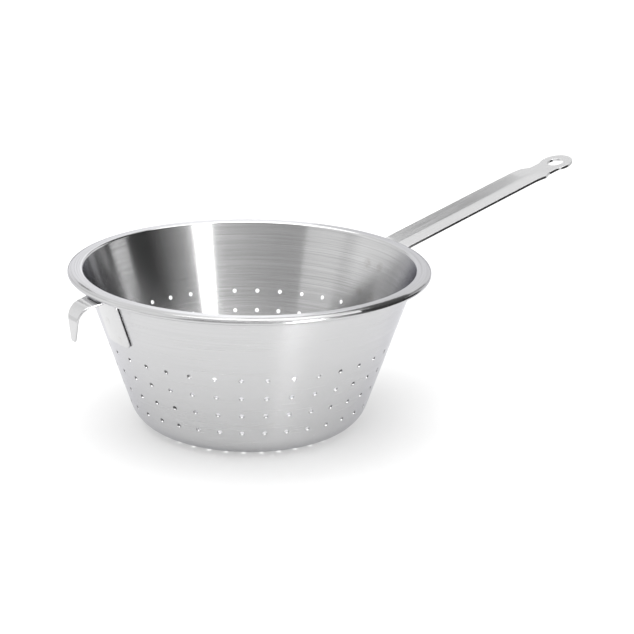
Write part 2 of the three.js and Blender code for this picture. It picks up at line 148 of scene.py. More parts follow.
# The under face of the sheet, from the centre of the base to the end of the curl.
lip_start = lip_centre + LIP_RADIUS * Vector((cos(pi - WALL_LEAN), sin(pi - WALL_LEAN)))
crown_under = CROWN_RADIUS - BOWL_SHEET
curl_radius = BEAD_RADIUS - BOWL_SHEET
sheet_stretches = [
    (corner_centre.x, straight(Vector((0, 0)), Vector((1, 0)), Vector((0, 1)))),
    (CORNER_RADIUS * quarter_less_lean, arc(corner_centre, CORNER_RADIUS, -pi / 2, 1, -1)),
    ((lip_start - wall_start).length, straight(wall_start, wall_up, wall_in)),
    (LIP_RADIUS * quarter_less_lean, arc(lip_centre, LIP_RADIUS, pi - WALL_LEAN, -1, 1)),
    (crown_centre.x - lip_centre.x,
     straight(lip_centre + Vector((0, LIP_RADIUS)), Vector((1, 0)), Vector((0, 1)))),
    (crown_under * CROWN_TURN, arc(crown_centre, crown_under, pi / 2, -1, 1)),
    (curl_radius * (CURL_SWEEP - CROWN_TURN), arc(bead_centre, curl_radius, pi / 2 - CROWN_TURN, -1, 1)),
]
stretch_ends = [sum(length for length, _ in sheet_stretches[:i + 1]) for i in range(len(sheet_stretches))]
corner_end, wall_end, lip_end, flat_end, crown_end, curl_end = stretch_ends[1:]
rim_distance = corner_end + (wall_top - wall_start).length

bowl_points = []
bowl_normals = []
bowl_faces = []


# A corner of the mesh at a distance along the sheet and an angle round the bowl.
# It lies at a height above the under face, and a tilt turns its normal into the sheet's own plane.
def bowl_point(distance, angle, height, facing, tilt=None):
    point, food_side = along_stretches(sheet_stretches, distance)
    place = point + height * food_side
    outward = Vector((cos(angle), sin(angle), 0))
    if facing > 0 and corner_end < distance < wall_end:
        food_side = Vector((
            food_side.x * cos(FOOD_TILT) + food_side.y * sin(FOOD_TILT),
            food_side.y * cos(FOOD_TILT) - food_side.x * sin(FOOD_TILT),
        ))
    normal = facing * Vector((food_side.x * outward.x, food_side.x * outward.y, food_side.y))
    if tilt is not None:
        around = Vector((-outward.y, outward.x, 0))
        along = Vector((food_side.y * outward.x, food_side.y * outward.y, -food_side.x))
        normal = -cos(tilt) * along - sin(tilt) * around
    bowl_points.append((place.x * outward.x, place.x * outward.y, place.y))
    bowl_normals.append(normal)
    return len(bowl_points) - 1


# Two closed rings of (angle, corner), joined by quads where they match and by triangles where not.
def join_rings(inner, outer, facing=1):
    def face(*corners):
        bowl_faces.append(corners if facing > 0 else corners[::-1])
    count, other = len(inner), len(outer)
    first = min(range(other), key=lambda j: abs((outer[j][0] - inner[0][0] + pi) % (2 * pi) - pi))
    if count == other:
        for i in range(count):
            j, k = (first + i) % other, (first + i + 1) % other
            face(inner[i][1], outer[j][1], outer[k][1], inner[(i + 1) % count][1])
        return
    def turned(ring, start, step):
        laps = (start + step) // len(ring) - start // len(ring)
        return ring[(start + step) % len(ring)][0] + 2 * pi * laps
    base = turned(outer, first, 0) - inner[0][0]
    shift = -2 * pi * round(base / (2 * pi))
    i = j = 0
    while i < count or j < other:
        next_inner = turned(inner, 0, i + 1)
        next_outer = turned(outer, first, j + 1) + shift
        here, there = inner[i % count][1], outer[(first + j) % other][1]
        if j >= other or (i < count and next_inner <= next_outer):
            face(here, there, inner[(i + 1) % count][1])
            i += 1
        else:
            face(here, there, outer[(first + j + 1) % other][1])
            j += 1


# The plain circles as distance, count and turn, and the bands of holes, which have four values.
def plain_circles(start, end, steps, count, turn):
    return [(start + (end - start) * i / steps, count, turn) for i in range(1, steps + 1)]


wall_count = HOLES_IN_ROW * WALL_ARCS
foot_count = BASE_RINGS * RING_GAIN * BASE_ARCS
base_bands = [(ring * RING_PITCH, ring * RING_GAIN, BASE_ARCS, RING_TURN)
              for ring in range(1, BASE_RINGS + 1)]
wall_bands = [(rim_distance - TOP_ROW_DROP - row * ROW_PITCH, HOLES_IN_ROW, WALL_ARCS, ROW_TURN)
              for row in reversed(range(WALL_ROWS))]
foot_band = base_bands[-1][0]
before_foot = base_bands[-2][0] + BAND_HALF
top_band = wall_bands[-1][0]
sheet_rows = [
    *base_bands[:-1],
    *plain_circles(before_foot, foot_band - BAND_HALF, FOOT_STEPS, foot_count, RING_TURN)[:-1],
    base_bands[-1],
    *plain_circles(foot_band + BAND_HALF, corner_end, CORNER_STEPS, wall_count, ROW_TURN),
    *wall_bands,
    *plain_circles(top_band + BAND_HALF, wall_end, WALL_STEPS, wall_count, ROW_TURN),
    *plain_circles(wall_end, lip_end, LIP_STEPS, wall_count, ROW_TURN),
    *plain_circles(lip_end, flat_end, BRIM_STEPS, wall_count, ROW_TURN),
    *plain_circles(flat_end, crown_end, CROWN_STEPS, wall_count, ROW_TURN),
    *plain_circles(crown_end, curl_end, CURL_STEPS, wall_count, ROW_TURN),
]


def circle(distance, count, turn, height, facing):
    return [(turn + 2 * pi * i / count, bowl_point(distance, turn + 2 * pi * i / count, height, facing))
            for i in range(count)]


# A band of cells with a hole in the middle of each. Returns its first and last circles and the hole rings.
def hole_band(distance, cells, arcs, turn, height, facing):
    offsets = [-BAND_HALF, -BAND_HALF / 3, BAND_HALF / 3, BAND_HALF]
    count = cells * arcs
    start = turn - pi / cells
    rows = [circle(distance + offset, count, start, height, facing) for offset in offsets]
    skip = (arcs - HOLE_ARCS) // 2
    radius = along_stretches(sheet_stretches, distance)[0].x
    rings = []
    for cell in range(cells):
        for arc_index in range(arcs):
            if skip <= arc_index < skip + HOLE_ARCS:
                continue
            i = cell * arcs + arc_index
            k = (i + 1) % count
            for low, high in zip(rows, rows[1:]):
                quad = (low[i][1], high[i][1], high[k][1], low[k][1])
                bowl_faces.append(quad if facing > 0 else quad[::-1])
        columns = [cell * arcs + skip + j for j in range(HOLE_ARCS + 1)]
        edge = [(3, i) for i in columns]
        edge += [(row, columns[-1]) for row in (2, 1)]
        edge += [(0, i) for i in reversed(columns)]
        edge += [(row, columns[0]) for row in (1, 2)]
        middle = turn + 2 * pi * cell / cells
        border = []
        for row, i in edge:
            across = radius * (start + 2 * pi * i / count - middle)
            border.append((atan2(across, offsets[row]), rows[row][i % count][1]))
        border.sort()
        ring = []
        bore = []
        for step in range(HOLE_POINTS):
            spin = -pi + 2 * pi * step / HOLE_POINTS
            wide = HOLE_RADIUS + HOLE_EDGE
            along, angle = distance + wide * cos(spin), middle + wide * sin(spin) / radius
            ring.append((spin, bowl_point(along, angle, height, facing)))
            along, angle = distance + HOLE_RADIUS * cos(spin), middle + HOLE_RADIUS * sin(spin) / radius
            bore.append((spin, bowl_point(along, angle, height - facing * HOLE_EDGE, facing, tilt=spin)))
        join_rings(ring, border, facing)
        join_rings(bore, ring, facing)
        rings.append(bore)
    return rows[0], rows[-1], rings


# One face of the sheet, from the centre of the base to the edge of the curl.
def bowl_face(height, facing):
    centre = bowl_point(0, 0, height, facing)
    bores = []
    last = None
    for row in sheet_rows:
        if len(row) == 4:
            first, end, rings = hole_band(*row, height, facing)
            bores += rings
        else:
            first = end = circle(*row, height, facing)
        if last is None:
            for i in range(len(first)):
                fan = (centre, first[i][1], first[(i + 1) % len(first)][1])
                bowl_faces.append(fan if facing > 0 else fan[::-1])
        else:
            join_rings(last, first, facing)
        last = end
    return last, bores


food_edge, food_bores = bowl_face(BOWL_SHEET, 1)
under_edge, under_bores = bowl_face(0, -1)
join_rings(food_edge, under_edge)
for food_bore, under_bore in zip(food_bores, under_bores):
    join_rings(under_bore, food_bore)


# A mesh object with smooth shading and a normal for each of its corners.
def smooth_piece(name, points, faces, normals):
    mesh = bpy.data.meshes.new(name)
    mesh.from_pydata(points, [], faces)
    mesh.shade_smooth()
    mesh.normals_split_custom_set_from_vertices(normals)
    piece = bpy.data.objects.new(name, mesh)
    bpy.context.collection.objects.link(piece)
    return piece


bowl = smooth_piece("drawn_bowl", bowl_points, bowl_faces, bowl_normals)


# A steel material and the calls that its nodes are made with.
class SteelNodes:
    def __init__(self, name):
        self.material = bpy.data.materials.new(name)
        self.material.use_nodes = True
        self.tree = self.material.node_tree
        self.shader = self.tree.nodes["Principled BSDF"]
        self.shader.inputs["Metallic"].default_value = 1

    # Adds a node. Values and sockets are given by the name or the number of its inputs.
    def add(self, kind, inputs=(), **settings):
        node = self.tree.nodes.new(kind)
        for key, value in settings.items():
            setattr(node, key, value)
        for key, value in dict(inputs).items():
            self.feed(node.inputs[key], value)
        return node

    def feed(self, socket, value):
        if isinstance(value, bpy.types.NodeSocket):
            self.tree.links.new(value, socket)
        else:
            socket.default_value = value

    def vector_math(self, operation, *values):
        node = self.add("ShaderNodeVectorMath", operation=operation)
        for i, value in enumerate(values):
            self.feed(node.inputs[i], value)
        return node

    def math(self, operation, *values):
        node = self.add("ShaderNodeMath", operation=operation)
        for i, value in enumerate(values):
            self.feed(node.inputs[i], value)
        return node.outputs[0]

    def ramp(self, value, low, high, out_low, out_high):
        inputs = {0: value, 1: low, 2: high, 3: out_low, 4: out_high}
        return self.add("ShaderNodeMapRange", inputs).outputs[0]

    def noise(self, where, scale, detail):
        inputs = {"Vector": where, "Scale": scale, "Detail": detail}
        return self.add("ShaderNodeTexNoise", inputs).outputs[0]

    def mix(self, share, first, second):
        inputs = {0: share, 6: first, 7: second}
        return self.add("ShaderNodeMix", inputs, data_type="RGBA").outputs[2]

    def surface(self, socket, value):
        self.feed(self.shader.inputs[socket], value)

    def relief(self, lines, depth):
        inputs = {"Height": lines, "Strength": LINE_RELIEF, "Distance": depth}
        self.surface("Normal", self.add("ShaderNodeBump", inputs).outputs[0])


bowl_steel = SteelNodes("lathe_brushed_steel")
bowl_place = bowl_steel.add("ShaderNodeTexCoord").outputs["Object"]
flat_place = bowl_steel.vector_math("MULTIPLY", bowl_place, (1, 1, 0)).outputs[0]
outward_way = bowl_steel.vector_math("NORMALIZE", flat_place).outputs[0]
axis_distance = bowl_steel.vector_math("LENGTH", flat_place).outputs["Value"]
place_height = bowl_steel.add("ShaderNodeSeparateXYZ", {0: bowl_place}).outputs[2]
brush_level = bowl_steel.math("ADD", axis_distance, place_height)


# Scratches that run round the bowl: long round it and fine across, as wide as given.
def round_scratches(width, turns):
    share = bowl_steel.math("DIVIDE", brush_level, width)
    across = bowl_steel.add("ShaderNodeCombineXYZ", {2: share}).outputs[0]
    along = bowl_steel.vector_math("MULTIPLY", outward_way, (turns, turns, turns)).outputs[0]
    return bowl_steel.noise(bowl_steel.vector_math("ADD", across, along).outputs[0], 1, 3)


coarse_half = bowl_steel.math("MULTIPLY", round_scratches(COARSE_LINE, COARSE_TURNS), 0.5)
fine_half = bowl_steel.math("MULTIPLY", round_scratches(FINE_LINE, FINE_TURNS), 0.5)
brush_lines = bowl_steel.math("ADD", coarse_half, fine_half)
face_way = bowl_steel.add("ShaderNodeNewGeometry").outputs["Normal"]
looking_out = bowl_steel.vector_math("DOT_PRODUCT", face_way, outward_way).outputs["Value"]
outside = bowl_steel.ramp(looking_out, *OUTSIDE_RANGE, 0, 1)
wall_roughness = bowl_steel.ramp(brush_lines, *LINE_RANGE, *BRUSH_ROUGHNESS)
outer_roughness = bowl_steel.math("MULTIPLY_ADD", outside, OUTER_DULL, wall_roughness)
rim_shine = bowl_steel.ramp(axis_distance, wall_top.x, wall_top.x + LIP_RADIUS, 0, RIM_SHINE)
line_share = bowl_steel.ramp(brush_lines, *LINE_RANGE, 0, 1)
line_grey = bowl_steel.math("MULTIPLY", line_share, bowl_steel.ramp(outside, 0, 1, 1, OUTSIDE_LINES))
bowl_tint = bowl_steel.mix(line_grey, STEEL_GREY, MARK_GREY)
lathe_turn = bowl_steel.add("ShaderNodeTangent", direction_type="RADIAL", axis="Z")
bowl_steel.surface("Roughness", bowl_steel.math("SUBTRACT", outer_roughness, rim_shine))
bowl_steel.surface("Specular Tint", EDGE_GREY)
bowl_steel.surface("Anisotropic", BRUSH_SPREAD)
bowl_steel.surface("Anisotropic Rotation", BRUSH_TURN)
bowl_steel.surface("Tangent", lathe_turn.outputs[0])
bowl_steel.relief(brush_lines, BRUSH_DEPTH)
bowl.data.materials.append(bowl_steel.material)
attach(bowl, "root")
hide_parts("bowl")

# Handle: a blanked strip of thick stainless sheet, pressed into a shallow gutter and bent down the wall.
# Its far end is flat, with a neck and a round eye to hang it by.
# The leg follows the wall's curve under the rim and carries the spot welds.
HANDLE_SHEET = 0.002
HANDLE_WIDTH = 0.0269
HANDLE_RISE = radians(15.5)
HANDLE_LENGTH = 0.1553
HANDLE_BEND = 0.005
HANDLE_LEG = 0.035
GUTTER_DEPTH = 0.0017
GUTTER_RUN = 0.018
GUTTER_FADE = 0.022
GUTTER_END = 0.004
LEG_CORNER = 0.006
EYE_RADIUS = 0.0124
EYE_HOLE_RADIUS = 0.006
NECK_WIDTH = 0.020
NECK_LENGTH = 0.0165
SHOULDER_LENGTH = 0.006
EYE_SPREAD = radians(120)
HANDLE_EDGE = 0.0002
FOLD_ROUND = 0.0008
SEAT_GAP = 0.0003
RIM_GAP = 0.0009
STRIP_STEP = 0.002
STRIP_TOUCH = 1e-7                 # how near a cut a corner counts as lying on it
STRIP_NUDGE = 1e-5                 # the small step that a bent strip's normals are measured over
SHARP_TURN = 1                     # an edge that turns more than this, in radians, is rounded
EDGE_SEGMENTS = 5
CORNER_ROUND_STEPS = 6
NECK_STEPS = 8
EYE_STEPS = 24
SATIN_STRETCH = (30, 900, 900)     # the grinding lines' fineness along and across
SATIN_SPREAD = 0.03
SATIN_LINES = 0.2
SATIN_DEPTH = 0.00001
HANDLE_ROUGHNESS = 0.17

leg_line = wall_top - SEAT_GAP * wall_in
bead_foot = bead_centre - Vector((0, BEAD_RADIUS))


def meeting(point, along, other_point, other_along):
    gap = other_point - point
    share = gap.cross(other_along) / along.cross(other_along)
    return point + share * along


# A corner between two straight runs, rounded on its outer side, for a strip that turns right.
# Gives its reach along each run and its stretch.
def round_turn(corner, into, out, radius):
    turn = acos(into.dot(out))
    trim = radius * tan(turn / 2)
    left = Vector((-into.y, into.x))
    first = corner - trim * into
    centre = first - radius * left
    return trim, (radius * turn, arc(centre, radius, atan2(left.y, left.x), -1, 1))


def wall_curve(z):
    return cos(WALL_LEAN) / (wall_top.x + (z - bowl_height) * tan(WALL_LEAN))


def smooth_share(value, start, end):
    share = min(1, max(0, (value - start) / (end - start)))
    return share * share * (3 - 2 * share)


def quarter_round(centre_u, centre_v, radius, start, end, steps=CORNER_ROUND_STEPS):
    angles = [start + (end - start) * i / steps for i in range(steps + 1)]
    return [(centre_u + radius * cos(angle), centre_v + radius * sin(angle)) for angle in angles]


# A strip cut from flat sheet along half an outline and its mirror image, then bent along a path.
# The outline runs from the foot to the tip and back along the middle, round any eye.
# The path gives a point, the way the upper face looks, the curve across and the slope of its two halves,
# at a distance from the foot.
def pressed_strip(name, half_outline, sheet, edge_round, path, turned=1):
    plate = bmesh.new()
    corners = {}

    def corner(u, v, w):
        key = (round(u, 7), round(v, 7), round(w, 7))
        if key not in corners:
            corners[key] = plate.verts.new((u, v, w))
        return corners[key]

    for side in (1, -1):
        outline = [(u, side * v) for u, v in half_outline][::-side]
        plate.faces.new([corner(u, v, 0) for u, v in outline])
        plate.faces.new([corner(u, v, -sheet) for u, v in reversed(outline)])
        for (u, v), (next_u, next_v) in zip(outline, outline[1:] + outline[:1]):
            if v == 0 and next_v == 0:
                continue
            wall = [(next_u, next_v, 0), (u, v, 0), (u, v, -sheet), (next_u, next_v, -sheet)]
            plate.faces.new([corner(*place) for place in wall])
    plate.normal_update()
    sharp = []
    for edge in plate.edges:
        level_edge = abs(edge.verts[0].co.z - edge.verts[1].co.z) < sheet / 2
        if level_edge and edge.calc_face_angle(0) > SHARP_TURN:
            sharp.append(edge)
    bmesh.ops.bevel(
        plate, geom=sharp, offset=edge_round, segments=EDGE_SEGMENTS, profile=0.5, affect="EDGES",
    )
    length = max(u for u, _ in half_outline)
    half = max(v for _, v in half_outline)

    def cut(point, normal):
        everything = plate.verts[:] + plate.edges[:] + plate.faces[:]
        bmesh.ops.bisect_plane(plate, geom=everything, dist=STRIP_TOUCH, plane_co=point, plane_no=normal)

    steps = ceil(length / STRIP_STEP)
    for i in range(1, steps):
        cut((length * i / steps, 0, 0), (1, 0, 0))
    columns = ceil(half / STRIP_STEP)
    for j in range(1 - columns, columns):
        cut((0, half * j / columns, 0), (0, 1, 0))
    plate.normal_update()
    plate.verts.index_update()

    def bent(u, v, w):
        point, facing, curve, fold = path(u)
        lift = w + curve * v * v / 2 + fold * (hypot(v, FOLD_ROUND) - FOLD_ROUND)
        return Vector((turned * (point.x + facing.x * lift), turned * v, point.y + facing.y * lift))

    points = []
    normals = []
    for vert in plate.verts:
        u, v, w = vert.co
        flat = Vector((0, 0, 0))
        for face in vert.link_faces:
            flat += face.calc_area() * face.normal
        along = bent(u + STRIP_NUDGE, v, w) - bent(u - STRIP_NUDGE, v, w)
        across = bent(u, v + STRIP_NUDGE, w) - bent(u, v - STRIP_NUDGE, w)
        through = bent(u, v, w + STRIP_NUDGE) - bent(u, v, w - STRIP_NUDGE)
        normal = flat.x * across.cross(through) + flat.y * through.cross(along)
        normal += flat.z * along.cross(across)
        points.append(bent(u, v, w))
        normals.append(normal.normalized())
    faces = [[vert.index for vert in face.verts] for face in plate.faces]
    plate.free()
    return smooth_piece(name, points, faces, normals)


arm_along = Vector((cos(HANDLE_RISE), sin(HANDLE_RISE)))
arm_up = Vector((-sin(HANDLE_RISE), cos(HANDLE_RISE)))
arm_line = bead_foot - Vector((0, RIM_GAP + GUTTER_DEPTH))
handle_corner = meeting(leg_line, wall_up, arm_line, arm_along)
handle_trim, handle_turn = round_turn(handle_corner, wall_up, arm_along, HANDLE_BEND)
handle_foot = handle_corner - HANDLE_LEG * wall_up
arm_start = handle_corner + handle_trim * arm_along
eye_place = arm_line + (RIM_RADIUS + HANDLE_LENGTH - arm_line.x) / arm_along.x * arm_along
handle_stretches = [
    (HANDLE_LEG - handle_trim, straight(handle_foot, wall_up, wall_in)),
    handle_turn,
    (1, straight(arm_start, arm_along, arm_up)),
]
arm_u = HANDLE_LEG - handle_trim + handle_turn[0]
eye_u = arm_u + (eye_place - arm_start).length
neck_u = eye_u - NECK_LENGTH
handle_half = HANDLE_WIDTH / 2
neck_half = NECK_WIDTH / 2
gutter_fold = GUTTER_DEPTH / handle_half


def handle_path(u):
    point, facing = along_stretches(handle_stretches, u)
    leg_curve = wall_curve(min(point.y, handle_corner.y))
    into_gutter = smooth_share(u, arm_u, arm_u + GUTTER_RUN)
    out_of_gutter = smooth_share(u, neck_u + GUTTER_END - GUTTER_FADE, neck_u + GUTTER_END)
    return point, facing, leg_curve * (1 - into_gutter), gutter_fold * into_gutter * (1 - out_of_gutter)


join_u = eye_u + EYE_RADIUS * cos(EYE_SPREAD)
join_v = EYE_RADIUS * sin(EYE_SPREAD)
neck_bend_u = join_u - (join_v - neck_half) * tan(pi - EYE_SPREAD)
neck_end_u = 2 * neck_bend_u - join_u
neck_steps = [i / NECK_STEPS for i in range(1, NECK_STEPS)]
neck_curve = [
    ((1 - t) ** 2 * neck_end_u + 2 * t * (1 - t) * neck_bend_u + t * t * join_u,
     (1 - t) ** 2 * neck_half + 2 * t * (1 - t) * neck_half + t * t * join_v)
    for t in neck_steps
]
handle_outline = [
    (0, 0),
    *quarter_round(LEG_CORNER, handle_half - LEG_CORNER, LEG_CORNER, pi, pi / 2),
    (neck_u - SHOULDER_LENGTH, handle_half),
    (neck_u, neck_half),
    (neck_end_u, neck_half),
    *neck_curve,
    *quarter_round(eye_u, 0, EYE_RADIUS, EYE_SPREAD, 0, steps=EYE_STEPS)[:-1],
    (eye_u + EYE_RADIUS, 0),
    (eye_u + EYE_HOLE_RADIUS, 0),
    *quarter_round(eye_u, 0, EYE_HOLE_RADIUS, 0, pi, steps=EYE_STEPS)[1:-1],
    (eye_u - EYE_HOLE_RADIUS, 0),
]
handle = pressed_strip("strip_handle", handle_outline, HANDLE_SHEET, HANDLE_EDGE, handle_path)


# Satin steel with faint grinding lines along a direction in the XZ plane, rising by an angle.
def satin_steel(name, rise, roughness):
    steel = SteelNodes(name)
    where = steel.add("ShaderNodeTexCoord").outputs["Object"]
    lined_up = steel.add("ShaderNodeMapping", {"Vector": where, "Rotation": (0, rise, 0)}).outputs[0]
    lines = steel.noise(steel.vector_math("MULTIPLY", lined_up, SATIN_STRETCH).outputs[0], 1, 3)
    line_share = steel.ramp(lines, *LINE_RANGE, 0, SATIN_LINES)
    smooth, rough = roughness - SATIN_SPREAD, roughness + SATIN_SPREAD
    steel.surface("Roughness", steel.ramp(lines, *LINE_RANGE, smooth, rough))
    steel.surface("Base Color", steel.mix(line_share, STEEL_GREY, MARK_GREY))
    steel.relief(lines, SATIN_DEPTH)
    return steel.material


handle.data.materials.append(satin_steel("handle_satin_steel", HANDLE_RISE, HANDLE_ROUGHNESS))
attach(handle, "root")
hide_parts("handle")

# Hook: a blanked tongue of stainless sheet that hangs the colander on the edge of a pot.
# It leaves the wall under the rim, opposite the handle, and bends over and down to a narrow tip.
# Its wide leg lies on the wall and is held by two spot welds.
HOOK_SHEET = 0.0015
HOOK_LEG_WIDTH = 0.026
HOOK_WIDTH = 0.020
HOOK_TIP = 0.0045
HOOK_TAPER = 1.4
HOOK_OVERHANG = 0.0127
HOOK_DROP = 0.030
HOOK_SLOPE = radians(12)
HOOK_BEND = 0.0105
HOOK_ROOT_BEND = 0.004
HOOK_LEG = 0.0358
HOOK_CORNER = 0.003
HOOK_EDGE = 0.00065
HOOK_ROUGHNESS = 0.12
TONGUE_STEPS = 24
FAR_SIDE = -1                      # the hook is turned half round, to face away from the handle

tongue_out = Vector((cos(HOOK_SLOPE), -sin(HOOK_SLOPE)))
straight_down = Vector((0, -1))
tongue_line = bead_foot - Vector((0, RIM_GAP))
hook_corner = meeting(leg_line, wall_up, tongue_line, tongue_out)
hook_end = Vector((RIM_RADIUS + HOOK_OVERHANG, bowl_height - HOOK_DROP))
over_corner = meeting(tongue_line, tongue_out, hook_end, straight_down)
root_trim, root_turn = round_turn(hook_corner, wall_up, tongue_out, HOOK_ROOT_BEND)
over_trim, over_turn = round_turn(over_corner, tongue_out, straight_down, HOOK_BEND)
hook_foot = hook_corner - HOOK_LEG * wall_up
tongue_start = hook_corner + root_trim * tongue_out
drop_start = over_corner + over_trim * straight_down
tongue_length = (over_corner - hook_corner).length - root_trim - over_trim
hook_stretches = [
    (HOOK_LEG - root_trim, straight(hook_foot, wall_up, wall_in)),
    root_turn,
    (tongue_length, straight(tongue_start, tongue_out, Vector((sin(HOOK_SLOPE), cos(HOOK_SLOPE))))),
    over_turn,
    (1, straight(drop_start, straight_down, Vector((1, 0)))),
]
leg_u = HOOK_LEG - root_trim
tongue_u = leg_u + root_turn[0]
hook_length = tongue_u + tongue_length + over_turn[0] + (hook_end - drop_start).length


def hook_path(u):
    point, facing = along_stretches(hook_stretches, u)
    curve = wall_curve(min(point.y, hook_corner.y)) * (1 - smooth_share(u, leg_u, tongue_u))
    return point, facing, curve, 0


def tongue_half(u):
    share = (u - tongue_u) / (hook_length - tongue_u)
    return HOOK_TIP / 2 + (HOOK_WIDTH - HOOK_TIP) / 2 * (1 - share ** HOOK_TAPER)


shoulder_round = (HOOK_LEG_WIDTH - HOOK_WIDTH) / 2
tip_round = HOOK_TIP / 4
tongue_run = hook_length - tip_round - tongue_u
tongue_edge = [tongue_u + tongue_run * i / TONGUE_STEPS for i in range(TONGUE_STEPS + 1)]
hook_outline = [
    (0, 0),
    *quarter_round(HOOK_CORNER, HOOK_LEG_WIDTH / 2 - HOOK_CORNER, HOOK_CORNER, pi, pi / 2),
    *quarter_round(leg_u - shoulder_round, HOOK_WIDTH / 2, shoulder_round, pi / 2, 0),
    *[(u, tongue_half(u)) for u in tongue_edge],
    *quarter_round(hook_length - tip_round, HOOK_TIP / 2 - tip_round, tip_round, pi / 2, 0)[1:],
    (hook_length, 0),
]
hook = pressed_strip("pot_hook", hook_outline, HOOK_SHEET, HOOK_EDGE, hook_path, FAR_SIDE)
hook.data.materials.append(satin_steel("hook_satin_steel", 0, HOOK_ROUGHNESS))
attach(hook, "root")
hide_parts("hook")

# Spot welds: the strips and the wall are fused between two electrodes, four spots on the handle's leg
# and two on the hook's. Each leaves a shallow round print in the strip, dulled by the heat,
# and the handle's have left faint smudges on the food side of the wall.
WELD_RADIUS = 0.0025
WELD_PROUD = 0.00006
WELD_DISH = 0.00004
WELD_SKIRT = 0.0004
HANDLE_WELD_SPREAD = 0.0136
HANDLE_WELD_TOP = 0.0083
HANDLE_WELD_FOOT = 0.0057
HOOK_WELD_SPREAD = 0.008
HOOK_WELD_TOP = 0.019
HOOK_WELD_FOOT = 0.005
WELD_STEPS = 32
WELD_GREY = (0.58, 0.575, 0.57, 1)
WELD_ROUGHNESS = (0.17, 0.24)
MOTTLE_SCALE = 900
MOTTLE_RANGE = (0.3, 0.7)
SMUDGE_CORE = 0.0012
SMUDGE_REACH = 0.0045
SMUDGE_SHARE = 0.8
SMUDGE_GREY = (0.42, 0.41, 0.40, 1)
PATCH_SCALE = 400
PATCH_LEAST = 0.3

weld_steel = SteelNodes("heat_dulled_steel")
mottle = weld_steel.noise(weld_steel.add("ShaderNodeTexCoord").outputs["Object"], MOTTLE_SCALE, 2)
weld_steel.surface("Roughness", weld_steel.ramp(mottle, *MOTTLE_RANGE, *WELD_ROUGHNESS))
mottle_share = weld_steel.ramp(mottle, *MOTTLE_RANGE, 0, 1)
weld_steel.surface("Base Color", weld_steel.mix(mottle_share, WELD_GREY, STEEL_GREY))


# The print of one electrode: a low round button with a dished face, set on the strip's outer face.
def weld_print(name, node, side, z, sheet, turned):
    radius = wall_top.x + (z - bowl_height) * tan(WALL_LEAN)
    angle = asin(side / radius)
    outward = Vector((cos(WALL_LEAN) * cos(angle), cos(WALL_LEAN) * sin(angle), -sin(WALL_LEAN)))
    across = Vector((-sin(angle), cos(angle), 0))
    upward = outward.cross(across)
    seat = Vector((radius * cos(angle), side, z)) + (SEAT_GAP + sheet) * outward
    dish = [(0.7, WELD_DISH), (0.85, WELD_PROUD), (0.95, WELD_PROUD * 0.7), (1, 0), (1, -WELD_SKIRT)]
    points = [seat + WELD_DISH / 2 * outward]
    faces = []
    for share, lift in dish:
        for i in range(WELD_STEPS):
            spin = 2 * pi * i / WELD_STEPS
            flat = cos(spin) * across + sin(spin) * upward
            points.append(seat + share * WELD_RADIUS * flat + lift * outward)
    for i in range(WELD_STEPS):
        k = (i + 1) % WELD_STEPS
        faces.append((0, 1 + i, 1 + k))
        for ring in range(len(dish) - 1):
            low, high = 1 + ring * WELD_STEPS, 1 + (ring + 1) * WELD_STEPS
            faces.append((low + i, high + i, high + k, low + k))
    last = 1 + (len(dish) - 1) * WELD_STEPS
    faces.append([last + i for i in reversed(range(WELD_STEPS))])
    mesh = bpy.data.meshes.new(name)
    mesh.from_pydata([(turned * p.x, turned * p.y, p.z) for p in points], [], faces)
    mesh.shade_smooth()
    mesh.materials.append(weld_steel.material)
    piece = bpy.data.objects.new(name, mesh)
    bpy.context.collection.objects.link(piece)
    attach(piece, "root")
    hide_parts(node)


def weld_heights(corner, leg, top, foot):
    return [corner.y - top * wall_up.y, corner.y - (leg - foot) * wall_up.y]


handle_spots = [(side * HANDLE_WELD_SPREAD / 2, z)
                for z in weld_heights(handle_corner, HANDLE_LEG, HANDLE_WELD_TOP, HANDLE_WELD_FOOT)
                for side in (-1, 1)]
for i, (side, z) in enumerate(handle_spots, start=1):
    weld_print(f"handle_print_{i}", f"handle_weld_{i}", side, z, HANDLE_SHEET, 1)

# The smudges, where the steel of the bowl is greyed in patches near each of the handle's welds.
smudge = None
for side, z in handle_spots:
    radius = wall_top.x + (z - bowl_height) * tan(WALL_LEAN) - BOWL_SHEET / cos(WALL_LEAN)
    angle = asin(side / radius)
    away = bowl_steel.vector_math("DISTANCE", bowl_place, (radius * cos(angle), radius * sin(angle), z))
    mark = bowl_steel.ramp(away.outputs["Value"], SMUDGE_CORE, SMUDGE_REACH, SMUDGE_SHARE, 0)
    smudge = mark if smudge is None else bowl_steel.math("MAXIMUM", smudge, mark)
patchy = bowl_steel.ramp(bowl_steel.noise(bowl_place, PATCH_SCALE, 2), *LINE_RANGE, PATCH_LEAST, 1)
smudge_share = bowl_steel.math("MULTIPLY", smudge, patchy)
bowl_steel.surface("Base Color", bowl_steel.mix(smudge_share, bowl_tint, SMUDGE_GREY))

hook_heights = weld_heights(hook_corner, HOOK_LEG, HOOK_WELD_TOP, HOOK_WELD_FOOT)
hook_spots = [(side * HOOK_WELD_SPREAD / 2, z) for side, z in zip((-1, 1), hook_heights)]
for i, (side, z) in enumerate(hook_spots, start=1):
    weld_print(f"hook_print_{i}", f"hook_weld_{i}", side, z, HOOK_SHEET, FAR_SIDE)

# Camera: a long lens at the photograph's place, a little above the rim and left of the hook's side.
# It looks at the middle of the picture, a small turn away from the middle of the bowl.
LENS = 93.11
SENSOR = 36
VIEW_DISTANCE = 1.0872
VIEW_ANGLE = radians(-124.05)
VIEW_HEIGHT = radians(16.152)
VIEW_YAW = radians(2.3406)
VIEW_PITCH = radians(-1.8481)
VIEW_ROLL = radians(0.4704)

